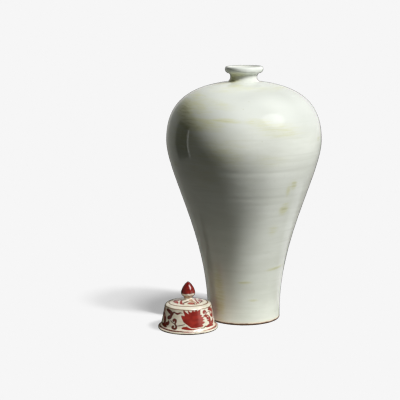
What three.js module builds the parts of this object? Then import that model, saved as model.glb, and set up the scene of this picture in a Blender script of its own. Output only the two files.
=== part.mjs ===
// A covered meiping: a tall high-shouldered vase with a small rolled mouth, and its bell-shaped cover.
// The body is thrown in three sections and a neck that are luted together rim to rim. The cover is a
// flared cap with a bud knob and an inner tube that finds the mouth. It stands on the table beside the foot.
// Millimetres, +Z up. The origin is on the vase's axis, in the plane that it stands on.
import * as THREE from "three";

// Vase, heights
const footToBelly = 257.2; // standing plane to the widest point
const bellyToNeck = 81.7; // widest point to the root of the neck
const neckHeight = 21.1; // root of the neck to the top of the lip
const footWallHeight = 8.0; // upright stretch of wall over the foot
const footSectionHeight = 104.0; // first thrown section, to its luting seam
const bodySectionHeight = 96.0; // second thrown section, seam to seam

// Vase, radii and walls
const footRadius = 51.6;
const bellyRadius = 109.4;
const neckRadius = 18.5; // at the waist of the neck
const neckRootSpread = 3.7; // how far the neck flares where it meets the shoulder
const lipOverhang = 8.4; // how far the rolled lip stands out from the waist
const lipBand = 8.4; // height of the rolled lip
const lipRoll = 3.6; // top of the lip down to its widest line
const lipCrestInset = 2.8; // widest line in to the top of the roll
const footWall = 9.0;
const bodyWall = 5.0;
const neckWall = 5.0;
const floorThickness = 9.0;

// Vase, foot
const footBevel = 1.6; // pared edge of the unglazed foot
const footRingWidth = 11.0; // flat ring that the vase stands on
const recessDepth = 3.0; // countersunk base inside the ring
const recessSlope = 2.0;
const floorFillet = 16.0; // thrown curve between floor and wall, inside

// Fullness of the curves, as a share of the stretch that each one spans
const lowerSlimness = 0.45; // how long the wall stays slim above the foot
const bellyFullness = 0.19; // how upright it is just below the belly
const shoulderFullness = 0.703; // how high the shoulder stays full
const shoulderSpread = 0.572; // how flat the shoulder runs in to the neck
const shoulderSlope = 0.083; // rise of that flat stretch
const waistPlace = 0.5; // waist of the neck, from its root to the underside of the lip

// Cover
const capWall = 4.0;
const lipClearance = 1.9; // lip of the vase to the cap's wall, under the ceiling
const lipHeadroom = 6.1; // top of the lip to the ceiling when the cap sits on the shoulder
const ceilingThickness = 4.5;
const skirtFlare = 4.4; // top of the cap's wall out to its foot
const flangeProjection = 4.8; // wall out to the rim
const flangeHeight = 8.0;
const rimThickness = 2.2;
const rimBevel = 0.7;
const topEdgeRadius = 3.8;
const crownRise = 5.7; // top edge up to the seat of the knob
const ceilingRise = 3.6; // the ceiling follows the crown up to the tube
const ceilingFillet = 4.0;
const tubeClearance = 1.5; // bore of the neck to the tube that drops into it
const tubeWall = 3.0;
const tubeReach = 14.0; // how far the tube goes down the neck
const standGap = 3.6; // foot of the vase to the rim of the cover on the table

// Knob, a lotus bud
const knobHeight = 25.8;
const knobSeatRadius = 8.8;
const knobStemRadius = 6.6;
const knobStemRise = 2.7;
const knobBudRadius = 9.6;
const knobBudRise = 9.7; // seat to the widest line of the bud
const knobTipRadius = 1.0;

// Facets
const bodyFacets = 48;
const coverFacets = 48;
const knobFacets = 32;
const tubeFacets = 24;
const lowerSteps = 14;
const shoulderSteps = 14;
const neckSteps = 4;
const roundSteps = 4;

// Heights and radii that follow from the sizes above
const shoulderTop = footToBelly + bellyToNeck;
const vaseHeight = shoulderTop + neckHeight;
const firstSeam = footSectionHeight;
const secondSeam = footSectionHeight + bodySectionHeight;
const neckRootRadius = neckRadius + neckRootSpread;
const lipRadius = neckRadius + lipOverhang;
const boreRadius = neckRadius - neckWall;
const lipUnderside = vaseHeight - lipBand;
const waistHeight = THREE.MathUtils.lerp(shoulderTop, lipUnderside, waistPlace);

const point = (radius, height) => new THREE.Vector2(radius, height);

// Points along a curve from one end to the other, without the first one.
const along = (curve, steps) => curve.getPoints(steps).slice(1);

// A quarter-round stretch: it leaves the start towards the corner and reaches the end from it.
const roundTo = (start, corner, end, steps = roundSteps) =>
  along(new THREE.QuadraticBezierCurve(start, corner, end), steps);

// Outside of the body, as two curves that meet upright at the belly.
const bodyStart = point(footRadius, footWallHeight);
const belly = point(bellyRadius, footToBelly);
const neckRoot = point(neckRootRadius, shoulderTop);
const lowerRise = footToBelly - footWallHeight;
const shoulderRun = bellyRadius - neckRootRadius;
const lowerCurve = new THREE.CubicBezierCurve(
  bodyStart,
  point(footRadius, footWallHeight + lowerSlimness * lowerRise),
  point(bellyRadius, footToBelly - bellyFullness * lowerRise),
  belly,
);
const shoulderCurve = new THREE.CubicBezierCurve(
  belly,
  point(bellyRadius, footToBelly + shoulderFullness * bellyToNeck),
  point(neckRootRadius + shoulderSpread * shoulderRun, shoulderTop - shoulderSlope * bellyToNeck),
  neckRoot,
);

// Wall thickness at a height: heavy at the foot, pared to an even wall by the belly.
function wallAt(height) {
  const pared = THREE.MathUtils.smoothstep(height, 0, footToBelly);
  return THREE.MathUtils.lerp(footWall, bodyWall, pared);
}

// Points of the inside of the wall, square to the outer curve.
function insideOf(curve, steps) {
  return curve.getPoints(steps).map((outer, index) => {
    const tangent = curve.getTangent(index / steps);
    const wall = wallAt(outer.y);
    return point(outer.x - tangent.y * wall, outer.y + tangent.x * wall);
  });
}

// The outside of the vase from the standing plane to the top of the lip.
function outerOutline() {
  const waist = point(neckRadius, waistHeight);
  const underLip = point(lipRadius - lipCrestInset, lipUnderside);
  const lipWidest = point(lipRadius, vaseHeight - lipRoll);
  const lipCrest = point(lipRadius - lipCrestInset, vaseHeight);
  const underWidest = point(lipRadius, THREE.MathUtils.lerp(lipUnderside, lipWidest.y, 0.3));
  return [
    point(footRadius - footBevel, 0),
    point(footRadius, footBevel),
    bodyStart,
    ...along(lowerCurve, lowerSteps),
    ...along(shoulderCurve, shoulderSteps),
    ...roundTo(neckRoot, point(neckRadius, THREE.MathUtils.lerp(shoulderTop, waist.y, 0.4)), waist, neckSteps),
    ...roundTo(waist, point(neckRadius, lipUnderside - 0.6), underLip, neckSteps),
    ...roundTo(underLip, underWidest, lipWidest),
    ...roundTo(lipWidest, point(lipRadius, vaseHeight), lipCrest),
  ];
}

// The inside of the vase from the middle of its floor to the top of the lip.
function innerOutline() {
  const floor = recessDepth + floorThickness;
  const innerFoot = footRadius - footWall;
  const wall = [...insideOf(lowerCurve, lowerSteps), ...insideOf(shoulderCurve, shoulderSteps).slice(1)];
  const overFillet = wall.filter((p) => p.y > floor + floorFillet);
  const underRoot = overFillet.pop();
  const boreFoot = point(boreRadius, shoulderTop);
  const boreTop = point(boreRadius, waistHeight);
  const lipCrest = point(lipRadius - lipCrestInset, vaseHeight);
  return [
    point(0, floor),
    point(innerFoot - floorFillet, floor),
    ...roundTo(point(innerFoot - floorFillet, floor), point(innerFoot, floor), overFillet[0]),
    ...overFillet.slice(1),
    underRoot,
    ...roundTo(underRoot, point(boreRadius, underRoot.y), boreFoot),
    boreTop,
    ...roundTo(boreTop, point(boreRadius, lipUnderside), point(neckRadius, vaseHeight - lipRoll)),
    ...roundTo(point(neckRadius, vaseHeight - lipRoll), point(neckRadius + neckRootSpread, vaseHeight), lipCrest),
  ];
}

// The stretch of an outline between two heights, cut level at both. The outline climbs all the way.
function between(outline, low, high) {
  const cutAt = (height) => {
    const over = outline.findIndex((p) => p.y >= height);
    if (over <= 0) return outline[0].clone();
    const under = outline[over - 1];
    const share = (height - under.y) / (outline[over].y - under.y);
    return point(THREE.MathUtils.lerp(under.x, outline[over].x, share), height);
  };
  const margin = 0.4; // leaves out a point that would make a sliver beside the cut
  const inside = outline.filter((p) => p.y > low + margin && p.y < high - margin);
  return [cutAt(low), ...inside, cutAt(high)];
}

// A solid of revolution about Z from a profile that runs up the outside.
function turned(profile, facets) {
  return new THREE.LatheGeometry(profile, facets).rotateX(Math.PI / 2);
}

const outer = outerOutline();
const inner = innerOutline();

// Pared foot ring, countersunk base, floor and the first stretch of wall.
function footSection() {
  const ringInner = footRadius - footBevel - footRingWidth;
  const profile = [
    point(0, recessDepth),
    point(ringInner - recessSlope, recessDepth),
    point(ringInner, 0),
    ...between(outer, 0, firstSeam),
    ...between(inner, inner[0].y, firstSeam).reverse(),
  ];
  return turned(profile, bodyFacets);
}

// A thrown ring of wall between two seams, its rims flat for luting.
function wallSection(low, high) {
  const outside = between(outer, low, high);
  const inside = between(inner, low, high).reverse();
  return turned([...outside, ...inside, outside[0]], bodyFacets);
}

// Neck and rolled lip, turned as one and luted over the hole in the shoulder.
function neckAndLip() {
  const outside = between(outer, shoulderTop, vaseHeight);
  const inside = between(inner, shoulderTop, vaseHeight).reverse().slice(1);
  return turned([...outside, ...inside, outside[0]], bodyFacets);
}

// Height of the shoulder where a ring of this radius comes to rest on it.
function shoulderHeightAt(radius) {
  const over = outer.findIndex((p) => p.y > footToBelly && p.x <= radius);
  const under = outer[over - 1];
  const share = (under.x - radius) / (under.x - outer[over].x);
  return THREE.MathUtils.lerp(under.y, outer[over].y, share);
}

// The cap's sizes follow the lip that it clears and the shoulder that its skirt rests on.
const capTopRadius = lipRadius + lipClearance + capWall;
const skirtRadius = capTopRadius + skirtFlare;
const rimRadius = skirtRadius + flangeProjection;
const rimInnerRadius = skirtRadius - capWall;
const lipAboveSeat = vaseHeight - shoulderHeightAt(rimInnerRadius);
const ceilingHeight = lipAboveSeat + lipHeadroom;
const capHeight = ceilingHeight + ceilingThickness;
const crownHeight = capHeight + crownRise;
const tubeRadius = boreRadius - tubeClearance;
const tubeSeatHeight = ceilingHeight + ceilingRise;

// Flared cap: rim, flange, sloping wall, rounded top edge and the low crown that carries the knob.
function coverCap() {
  const shoulderOfWall = point(capTopRadius, capHeight - topEdgeRadius);
  const topEdge = point(capTopRadius - topEdgeRadius, capHeight + crownRise * 0.2);
  const knobSeat = point(knobSeatRadius, crownHeight);
  const crownControl = point((topEdge.x + knobSeat.x) / 2, crownHeight - crownRise * 0.28);
  const crownSlope = (crownControl.y - topEdge.y) / (topEdge.x - crownControl.x);
  const edgeCorner = point(capTopRadius, topEdge.y - crownSlope * topEdgeRadius);
  const flangeEdge = point(rimRadius, rimThickness);
  const wallFoot = point(skirtRadius, flangeHeight);
  const innerTop = point(capTopRadius - capWall, ceilingHeight - ceilingFillet);
  const ceilingEdge = point(capTopRadius - capWall - ceilingFillet, ceilingHeight);
  const profile = [
    point(0, tubeSeatHeight),
    point(tubeRadius + tubeClearance, tubeSeatHeight),
    ceilingEdge,
    ...roundTo(ceilingEdge, point(innerTop.x, ceilingHeight), innerTop),
    point(rimInnerRadius, 0),
    point(rimRadius - rimBevel, 0),
    point(rimRadius, rimBevel),
    flangeEdge,
    ...roundTo(flangeEdge, point(skirtRadius + flangeProjection * 0.25, flangeHeight * 0.5), wallFoot),
    shoulderOfWall,
    ...roundTo(shoulderOfWall, edgeCorner, topEdge),
    ...roundTo(topEdge, crownControl, knobSeat),
    point(0, crownHeight),
  ];
  return turned(profile, coverFacets);
}

// Bud knob: spreading seat, waisted stem and a bud drawn up to a small point.
function coverKnob() {
  const seat = crownHeight;
  const stem = point(knobStemRadius, seat + knobStemRise);
  const bud = point(knobBudRadius, seat + knobBudRise);
  const tip = point(knobTipRadius, seat + knobHeight - knobTipRadius * 0.6);
  const underBud = knobBudRise - knobStemRise;
  const overBud = tip.y - bud.y;
  const profile = [
    point(0, seat),
    point(knobSeatRadius, seat),
    ...roundTo(point(knobSeatRadius, seat), point(knobStemRadius, seat + knobStemRise * 0.3), stem),
    ...along(
      new THREE.CubicBezierCurve(
        stem,
        point(knobStemRadius, stem.y + underBud * 0.4),
        point(knobBudRadius, bud.y - underBud * 0.5),
        bud,
      ),
      6,
    ),
    ...along(
      new THREE.CubicBezierCurve(
        bud,
        point(knobBudRadius, bud.y + overBud * 0.38),
        point(knobTipRadius + knobBudRadius * 0.26, tip.y - overBud * 0.2),
        tip,
      ),
      8,
    ),
    point(0, seat + knobHeight),
  ];
  return turned(profile, knobFacets);
}

// Plain tube under the ceiling, which drops into the mouth and keeps the cover from sliding off.
function coverTube() {
  const tubeInnerRadius = tubeRadius - tubeWall;
  const low = ceilingHeight - lipHeadroom - tubeReach;
  const profile = [
    point(tubeRadius, low),
    point(tubeRadius, tubeSeatHeight),
    point(tubeInnerRadius, tubeSeatHeight),
    point(tubeInnerRadius, low),
    point(tubeRadius, low),
  ];
  return turned(profile, tubeFacets);
}

// Glazes
const paleGlaze = { color: 0xdcded6, roughness: 0.14, metalness: 0 };
const creamGlaze = { color: 0xe4dfd0, roughness: 0.2, metalness: 0 };
const redGlaze = { color: 0xa02c22, roughness: 0.18, metalness: 0 };

function piece(name, geometry, glaze) {
  const mesh = new THREE.Mesh(geometry, new THREE.MeshStandardMaterial(glaze));
  mesh.name = name;
  return mesh;
}

const vase = new THREE.Group();
vase.add(
  piece("foot_section", footSection(), paleGlaze),
  piece("lower_body", wallSection(firstSeam, secondSeam), paleGlaze),
  piece("shoulder_section", wallSection(secondSeam, shoulderTop), paleGlaze),
  piece("neck_and_lip", neckAndLip(), paleGlaze),
);

// The cover stands mouth down on the table, clear of the foot, towards the front left.
const cover = new THREE.Group();
const coverDistance = footRadius + standGap + rimRadius;
const coverDirection = new THREE.Vector3(-1, -1, 0).normalize();
cover.position.copy(coverDirection).multiplyScalar(coverDistance);
cover.add(
  piece("cover_cap", coverCap(), creamGlaze),
  piece("cover_knob", coverKnob(), redGlaze),
  piece("cover_locating_tube", coverTube(), creamGlaze),
);

const coveredVase = new THREE.Group();
coveredVase.add(vase, cover);
export default coveredVase;
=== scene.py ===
# A covered meiping: a tall porcelain vase in a pale greenish-white glaze, and its red-painted cover,
# which stands mouth down beside the foot. Lengths in the dictionaries are millimetres.
import math
import bpy
import numpy as np
from mathutils import Matrix, Vector


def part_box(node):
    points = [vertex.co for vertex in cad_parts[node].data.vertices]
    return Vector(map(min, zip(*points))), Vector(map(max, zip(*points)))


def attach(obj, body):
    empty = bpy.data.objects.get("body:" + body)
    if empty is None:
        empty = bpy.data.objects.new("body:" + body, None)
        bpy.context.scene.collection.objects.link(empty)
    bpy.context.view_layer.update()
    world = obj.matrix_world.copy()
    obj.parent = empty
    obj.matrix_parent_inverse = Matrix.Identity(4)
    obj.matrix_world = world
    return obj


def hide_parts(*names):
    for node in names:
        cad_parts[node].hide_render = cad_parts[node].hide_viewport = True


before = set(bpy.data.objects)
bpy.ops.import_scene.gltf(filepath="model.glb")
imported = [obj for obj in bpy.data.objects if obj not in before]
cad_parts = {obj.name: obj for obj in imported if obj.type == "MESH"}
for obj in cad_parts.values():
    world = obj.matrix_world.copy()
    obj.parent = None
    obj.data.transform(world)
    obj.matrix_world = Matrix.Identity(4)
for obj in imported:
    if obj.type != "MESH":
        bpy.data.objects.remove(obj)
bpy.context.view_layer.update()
scene = bpy.context.scene
mm = 0.001  # Blender works in metres
print("frame loaded")


# Camera, and the directions that everything before it is placed by

camera = {
    "distance": 1742,  # from the vase's axis
    "height": 473,
    "aside": 62.25,  # how far left of the axis it stands
    "azimuth": 9.8,  # degrees round from the frame's front
    "pitch": 9.848,  # degrees down
    "roll": 0.27,
    "focalLength": 111.72,
    "sensor": 36,
}

turn = math.radians(camera["azimuth"])
rightward = Vector((math.cos(turn), math.sin(turn), 0))
forward = Vector((-math.sin(turn), math.cos(turn), 0))
frontAngle = turn - math.pi / 2  # where round the axis the photographed side is


# A place given as seen from the camera: to the right of the vase's axis, beyond it, and up
def placeAt(right, ahead, up):
    return (rightward * right + forward * ahead + Vector((0, 0, up))) * mm


def newObject(name, data):
    thing = bpy.data.objects.new(name, data)
    scene.collection.objects.link(thing)
    return thing


def placeCamera():
    lens = bpy.data.cameras.new("camera")
    lens.lens = camera["focalLength"]
    lens.sensor_width = camera["sensor"]
    eye = newObject("camera", lens)
    pitch = math.radians(camera["pitch"])
    roll = math.radians(camera["roll"])
    ahead = forward * math.cos(pitch) - Vector((0, 0, math.sin(pitch)))
    upward = rightward.cross(ahead)
    across = rightward * math.cos(roll) - upward * math.sin(roll)
    upward = upward * math.cos(roll) + rightward * math.sin(roll)
    place = placeAt(-camera["aside"], -camera["distance"], camera["height"])
    eye.matrix_world = Matrix.Translation(place) @ Matrix((across, upward, -ahead)).transposed().to_4x4()
    scene.camera = eye


placeCamera()
scene.view_settings.view_transform = "Standard"
print("camera placed")


# Node helpers

# Turns a hex colour as picked on screen into the linear colour that nodes work with
def toLinear(hexColour):
    channels = [int(hexColour[i:i + 2], 16) / 255 for i in (1, 3, 5)]
    return [c / 12.92 if c <= 0.04045 else ((c + 0.055) / 1.055) ** 2.4 for c in channels] + [1]


# Adds a node, whose kind goes without ShaderNode. Inputs are values, hex colours or what feeds each socket,
# in order or by name, and the rest are settings. Gives back the output asked for.
def addNode(tree, kind, inputs=(), output=0, **settings):
    node = tree.nodes.new("ShaderNode" + kind)
    for name, value in settings.items():
        setattr(node, name, value)
    for socket, value in inputs.items() if isinstance(inputs, dict) else enumerate(inputs):
        if isinstance(value, bpy.types.NodeSocket):
            tree.links.new(value, node.inputs[socket])
        else:
            node.inputs[socket].default_value = toLinear(value) if isinstance(value, str) else value
    return node.outputs[output] if node.outputs else None


smooth = {"interpolation_type": "SMOOTHSTEP"}  # how a MapRange goes from one range to the other


# Ends a tree in the shader that it shows
def endTree(tree, kind, inputs, output="OutputMaterial"):
    addNode(tree, output, {"Surface": addNode(tree, kind, inputs)})


def newMaterial(name):
    material = bpy.data.materials.new(name)
    material.use_nodes = True
    material.node_tree.nodes.clear()
    return material, material.node_tree


# Mottling with patches about that many millimetres wide across, and that many high
def mottle(tree, place, across, up, detail=3.0, roughness=0.55):
    scale = (1 / (across * mm), 1 / (across * mm), 1 / (up * mm))
    stretched = addNode(tree, "Mapping", {"Vector": place, "Scale": scale})
    inputs = {"Vector": stretched, "Scale": 1.0, "Detail": detail, "Roughness": roughness}
    return addNode(tree, "TexNoise", inputs, "Fac")


# The edge where glaze ends over bare clay
glazeEdge = {
    "waveWidth": 8,
    "waveRise": 0.4,
    "softness": 0.2,
    "clayRoughness": 0.8,
}


# Colour and roughness turn to bare clay below a line that wanders as the glaze ran; the clay colour also
# carries painted contact shade
def bareBelow(tree, place, colour, clayAndContactShade, line, roughness):
    e = glazeEdge
    height = addNode(tree, "SeparateXYZ", (place,), "Z")
    wave = mottle(tree, place, e["waveWidth"], e["waveWidth"])
    wander = addNode(tree, "MapRange", (wave, 0.3, 0.7, -e["waveRise"] * mm, e["waveRise"] * mm), **smooth)
    edge = addNode(tree, "Math", (height, wander), operation="ADD")
    low, high = (line - e["softness"]) * mm, (line + e["softness"]) * mm
    glazed = addNode(tree, "MapRange", (edge, low, high), **smooth)
    rough = addNode(tree, "MapRange", (glazed, 0.0, 1.0, e["clayRoughness"], roughness), **smooth)
    return addNode(tree, "MixRGB", (glazed, clayAndContactShade, colour)), rough


# Puts the glossy surface together: the glaze isn't flat, its skin ripples every few millimetres
def finishGlaze(tree, place, colour, rough, ior, ripple, depth):
    wave = mottle(tree, place, ripple, ripple, 2.0)
    bump = addNode(tree, "Bump", {"Height": wave, "Strength": 0.5, "Distance": depth * mm})
    endTree(tree, "BsdfPrincipled", {"Base Color": colour, "Roughness": rough, "IOR": ior, "Normal": bump})


# Glaze of the vase: thin celadon-white porcelain glaze, wood fired. It is glassy and slightly wavy,
# pools greener in the throwing rings, and has yellow stains where ash settled on the shoulder.

vaseGlaze = {
    "pale": "#EAEDE4",
    "pooled": "#DDE0D5",
    # painted shade: the greyer colour laid on the shoulder
    "thick": "#DCE0DB",
    # These two tint the stains, and also the painted shade listed with them
    "yellowedAndShaded": "#DADBB9",
    "ashStainAndShade": "#B3B387",
    "underLipShade": "#D2D5CD",  # painted shade on the neck under the lip
    "thinned": "#F3E4CB",  # the cream line above the bare foot
    # painted contact shade: the bare clay is darker, and its band taller, than the clay alone, darkening the
    # foot where it meets the floor
    "clayAndContactShade": "#5A3A22",
    "ior": 1.5,
    "roughness": 0.07,
    "ripple": 7,
    "rippleDepth": 0.06,
    "glazeLine": 2.5,  # how far up the foot is bare
    "thinnedOver": (0.8, 2.4),  # the cream line fades out between these, above the glaze line
    "thinnedShare": 0.85,
    "shoulderShadeFrom": (262, 300),  # painted shade: the shoulder is painted greyer between these heights so that the lit shoulder does not come out too bright
    "shoulderShadeShare": 0.6,
    "underLipShadeFrom": (336, 341),
    "underLipShadeTo": (347, 351),
    "clouds": (55, 16),  # width and height of each pattern's patches
    "bands": (120, 5),
    "runs": (3.4, 70),
    "grain": (26, 2.6),
    "speckSpacing": 17,
}


def vaseMaterial():
    g = vaseGlaze
    material, tree = newMaterial("celadonWhitePorcelainGlaze")
    place = addNode(tree, "TexCoord", output="Object")
    height = addNode(tree, "SeparateXYZ", (place,), "Z")

    # The glaze pools in soft clouds, in the throwing rings and where it ran down
    pooled = 0.0
    for size, detail, low, high, most in (
        (g["clouds"], 3.0, 0.32, 0.68, 0.6),
        (g["bands"], 2.0, 0.45, 0.7, 0.55),
        (g["runs"], 2.0, 0.5, 0.8, 0.4),
    ):
        patches = addNode(tree, "MapRange", (mottle(tree, place, *size, detail), low, high), **smooth)
        share = addNode(tree, "Math", (patches, most), operation="MULTIPLY")
        pooled = addNode(tree, "Math", (pooled, share), operation="MAXIMUM")
    colour = addNode(tree, "MixRGB", (pooled, g["pale"], g["pooled"]))

    # Painted shade: the shoulder, and the neck under the lip, are painted greyer, where they would come out
    # too bright and where the lip shades the neck
    low, high = (v * mm for v in g["shoulderShadeFrom"])
    share = addNode(tree, "MapRange", (height, low, high, 0.0, g["shoulderShadeShare"]), **smooth)
    colour = addNode(tree, "MixRGB", (share, colour, g["thick"]))
    low, high = (v * mm for v in g["underLipShadeFrom"])
    above = addNode(tree, "MapRange", (height, low, high), **smooth)
    low, high = (v * mm for v in g["underLipShadeTo"])
    below = addNode(tree, "MapRange", (height, low, high, 1.0, 0.0), **smooth)
    share = addNode(tree, "Math", (above, below), operation="MULTIPLY")
    colour = addNode(tree, "MixRGB", (share, colour, g["underLipShade"]))

    # The stains, and the painted shade among them, are painted by vertex and broken up by the grain of the
    # ash
    stainAndShade = addNode(tree, "Attribute", output="Fac", attribute_name="stainAndShade")
    ash = mottle(tree, place, *g["grain"], 5.0, 0.62)
    grain = addNode(tree, "MapRange", (ash, 0.36, 0.66), **smooth)
    broken = addNode(tree, "MapRange", (grain, 0.0, 1.0, 0.6, 1.1), **smooth)
    stainAndShadeBroken = addNode(tree, "Math", (stainAndShade, broken), operation="MULTIPLY")
    everywhere = addNode(tree, "Math", (grain, 0.06), operation="MULTIPLY")
    amount = addNode(tree, "Math", (stainAndShadeBroken, everywhere), operation="ADD")
    for low, high, tint in ((0.0, 0.7, g["yellowedAndShaded"]), (0.55, 1.35, g["ashStainAndShade"])):
        share = addNode(tree, "MapRange", (amount, low, high), **smooth)
        colour = addNode(tree, "MixRGB", (share, colour, tint))

    # Iron specks, about a millimetre wide
    scale = 1 / (g["speckSpacing"] * mm)
    spots = addNode(tree, "TexVoronoi", {"Vector": place, "Scale": scale}, "Distance")
    share = addNode(tree, "MapRange", (spots, 0.03, 0.07, 0.3, 0.0), **smooth)
    colour = addNode(tree, "MixRGB", (share, colour, g["ashStainAndShade"]))

    low, high = ((g["glazeLine"] + v) * mm for v in g["thinnedOver"])
    share = addNode(tree, "MapRange", (height, low, high, g["thinnedShare"], 0.0), **smooth)
    colour = addNode(tree, "MixRGB", (share, colour, g["thinned"]))
    colour, rough = bareBelow(tree, place, colour, g["clayAndContactShade"], g["glazeLine"], g["roughness"])
    finishGlaze(tree, place, colour, rough, g["ior"], g["ripple"], g["rippleDepth"])
    return material


# Glaze of the cover: warm white glaze, painted under it in iron red. The brush leaves the red thin in
# places, thin stems dry to brown, and the rim is bare where the glaze was wiped off.

coverGlaze = {
    "white": "#F0E9DA",
    "pooled": "#DCD8C4",
    "red": "#A02C20",
    "deepRed": "#7E1C14",
    "brown": "#4A2418",
    "wash": "#A88060",  # brown brushed thin
    # painted contact shade: the bare rim is darker and taller than the clay alone, darkening it where it
    # meets the floor
    "clayAndContactShade": "#4F3A2C",
    "ior": 1.5,
    "roughness": 0.2,
    "ripple": 4,
    "rippleDepth": 0.05,
    "edge": 0.16,  # softness of a painted edge
    "wobble": 0.12,  # how far it strays
    "wobbleSize": 0.9,
    "rimLine": 1.2,  # how far up the rim is bare
    "clouds": 9,
    "brush": (11, 6),
    "knobRed": "#962016",
    "knobDeepRed": "#6A100A",
    "knobRoughness": 0.12,
    "tubeRoughness": 0.4,
}


def coverMaterial(name, red, deepRed, roughness):
    g = coverGlaze
    material, tree = newMaterial(name)
    place = addNode(tree, "TexCoord", output="Object")
    clouds = mottle(tree, place, g["clouds"], g["clouds"])
    share = addNode(tree, "MapRange", (clouds, 0.3, 0.7), **smooth)
    colour = addNode(tree, "MixRGB", (share, g["white"], g["pooled"]))

    # The paint, redder where the brush was full, then brown and at last a thin wash by its tone
    brush = mottle(tree, place, *g["brush"], 2.0)
    share = addNode(tree, "MapRange", (brush, 0.25, 0.75), **smooth)
    brushed = addNode(tree, "MixRGB", (share, deepRed, red))
    tone = addNode(tree, "Attribute", output="Fac", attribute_name="tone")
    for low, high, tint in ((0.0, 1.0, g["brown"]), (-1.0, 0.0, g["wash"])):
        share = addNode(tree, "MapRange", (tone, low, high), **smooth)
        brushed = addNode(tree, "MixRGB", (share, tint, brushed))

    # Where it lies, with an edge that strays a little
    size = g["wobbleSize"]
    strayed = (mottle(tree, place, size, size), 0.3, 0.7, -g["wobble"], g["wobble"])
    wobble = addNode(tree, "MapRange", strayed, **smooth)
    paint = addNode(tree, "Attribute", output="Fac", attribute_name="paint")
    edge = addNode(tree, "Math", (paint, wobble), operation="ADD")
    painted = addNode(tree, "MapRange", (edge, -g["edge"], g["edge"], 1.0, 0.0), **smooth)
    colour = addNode(tree, "MixRGB", (painted, colour, brushed))
    colour, rough = bareBelow(tree, place, colour, g["clayAndContactShade"], g["rimLine"], roughness)
    finishGlaze(tree, place, colour, rough, g["ior"], g["ripple"], g["rippleDepth"])
    return material


# Outlines, in millimetres: radius and height

# Points along a Bezier curve through its first and last point
def bezier(points, steps):
    share = np.linspace(0, 1, steps + 1)[:, None]
    points = [np.array(p, float) for p in points]
    while len(points) > 1:
        points = [a * (1 - share) + b * share for a, b in zip(points, points[1:])]
    return points[0]


# Joins stretches end to end and spaces their points evenly, keeping each stretch's own ends
def joined(stretches, spacing):
    rows = []
    for stretch in stretches:
        stretch = np.array(stretch, float)
        length = np.concatenate([[0], np.cumsum(np.hypot(*np.diff(stretch, axis=0).T))])
        steps = max(1, math.ceil(length[-1] / spacing))
        at = np.linspace(0, length[-1], steps + 1)[1 if rows else 0:]
        rows.append(np.stack([np.interp(at, length, stretch[:, k]) for k in (0, 1)], 1))
    return np.concatenate(rows)


# A rounded edge, from the flat ring that a piece stands on up to its side
def standingEdge(radius, bevel):
    return bezier([(radius - bevel, 0), (radius - bevel * 0.2, bevel * 0.2), (radius, bevel)], 6)


axisRadius = 0.001  # a point nearer the axis than this is on it
sharpAngle = 38  # degrees; edges that turn more stay crisp


# A closed mesh of revolution. The outline either starts and ends on the axis or is a closed loop.
# Where shift is given, it moves each point outward and sideways by what the hand left.
def turnedMesh(name, outline, segments, glaze, centre=(0, 0), shift=None):
    everyAngle = np.linspace(0, 2 * math.pi, segments, endpoint=False) + frontAngle
    onAxis = outline[0][0] < axisRadius
    points, rings, count = [], [], 0
    for radius, height in outline:
        angles = everyAngle if radius > axisRadius else everyAngle[:1]
        rings.append(np.arange(len(angles)) + count)
        count += len(angles)
        out, aside = shift(angles, radius, height) if shift else (0, (0, 0))
        reach = radius + out if radius > axisRadius else 0
        x = centre[0] + aside[0] + reach * np.cos(angles)
        y = centre[1] + aside[1] + reach * np.sin(angles)
        points.append(np.stack([x, y, np.full(len(angles), height)], 1))
    faces = []
    pairs = list(zip(rings, rings[1:])) + ([] if onAxis else [(rings[-1], rings[0])])
    for low, high in pairs:
        if len(low) == 1:
            faces += [(low[0], high[(i + 1) % segments], high[i]) for i in range(segments)]
        elif len(high) == 1:
            faces += [(low[i], low[(i + 1) % segments], high[0]) for i in range(segments)]
        else:
            after = np.roll(low, -1), np.roll(high, -1)
            faces += np.stack([low, after[0], after[1], high], 1).tolist()
    mesh = bpy.data.meshes.new(name)
    mesh.from_pydata((np.concatenate(points) * mm).tolist(), [], faces)
    mesh.shade_smooth()
    mesh.set_sharp_from_angle(angle=math.radians(sharpAngle))
    mesh.materials.append(glaze)
    return newObject(name, mesh)


def addAttribute(piece, name, values):
    layer = piece.data.attributes.new(name, "FLOAT", "POINT")
    layer.data.foreach_set("value", np.asarray(values, np.float32))


# Every vertex as the angle from the photographed side, the radius from a centre and the height
def around(piece, centre=(0, 0)):
    flat = np.zeros(len(piece.data.vertices) * 3, np.float32)
    piece.data.vertices.foreach_get("co", flat)
    x, y, z = flat.reshape(-1, 3).T / mm
    x = x - centre[0]
    y = y - centre[1]
    angle = (np.arctan2(y, x) - frontAngle + math.pi) % (2 * math.pi) - math.pi
    return angle, np.hypot(x, y), z


# The vase: the same curves as its solids, but round and with the marks of the hand

vaseShape = {
    "footRadius": 51.6,
    "footWallHeight": 8,
    "bellyHeight": 257.2,
    "neckRadius": 18.9,
    "neckRootSpread": 3.7,
    "lipBand": 8.4,
    "lipRoll": 3.6,
    "lipCrestInset": 2.8,
    "footWall": 9,
    "bodyWall": 5,
    "neckWall": 5,
    "floorThickness": 9,
    "footBevel": 1.6,
    "footRingWidth": 11,
    "recessDepth": 3,
    "recessSlope": 2,
    "floorFillet": 16,
    "lowerSlimness": 0.45,
    "bellyFullness": 0.19,
    "shoulderFullness": 0.703,
    "shoulderSpread": 0.572,
    "shoulderSlope": 0.083,
    "neckFullness": 0.4,
    "lipUndercut": 0.6,
    "lipFullness": 0.3,
    "innerNeckSpread": 10,  # how much wider than the bore the inner wall ends
    "ringSpacing": 1.3,
    "segments": 288,
}

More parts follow.
